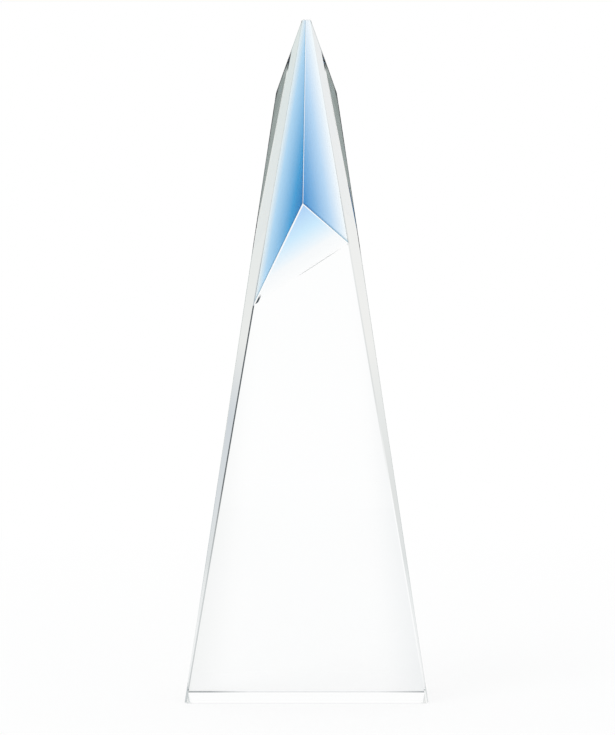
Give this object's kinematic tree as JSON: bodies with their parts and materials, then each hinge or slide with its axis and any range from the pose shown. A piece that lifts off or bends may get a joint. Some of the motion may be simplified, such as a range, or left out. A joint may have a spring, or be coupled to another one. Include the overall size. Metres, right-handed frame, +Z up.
{
  "type": "crystal award",
  "caption": "Free-standing clear crystal tower award, thin and tapered to a blunt tip, with bevelled corners and a flush wedge set in its upper front over blue tint films.",
  "frame": {"origin": "middle of the flat foot, on the surface it stands on", "axes": "+Z up towards the tip, front face towards -Y, +X to the right as seen from the front"},
  "size_m": [0.091, 0.033, 0.254],
  "materials": {
    "tower_crystal": "polished clear crystal",
    "wedge_crystal": "polished clear crystal",
    "left_tint": "deep blue bonded film",
    "right_tint": "mid blue bonded film",
    "floor_tint": "pale blue bonded film"
  },
  "bodies": {
    "root": {"crystal_tower": "tower_crystal", "accent_wedge": "wedge_crystal", "left_tint_film": "left_tint", "right_tint_film": "right_tint", "floor_tint_film": "floor_tint"}
  },
  "joints": []
}
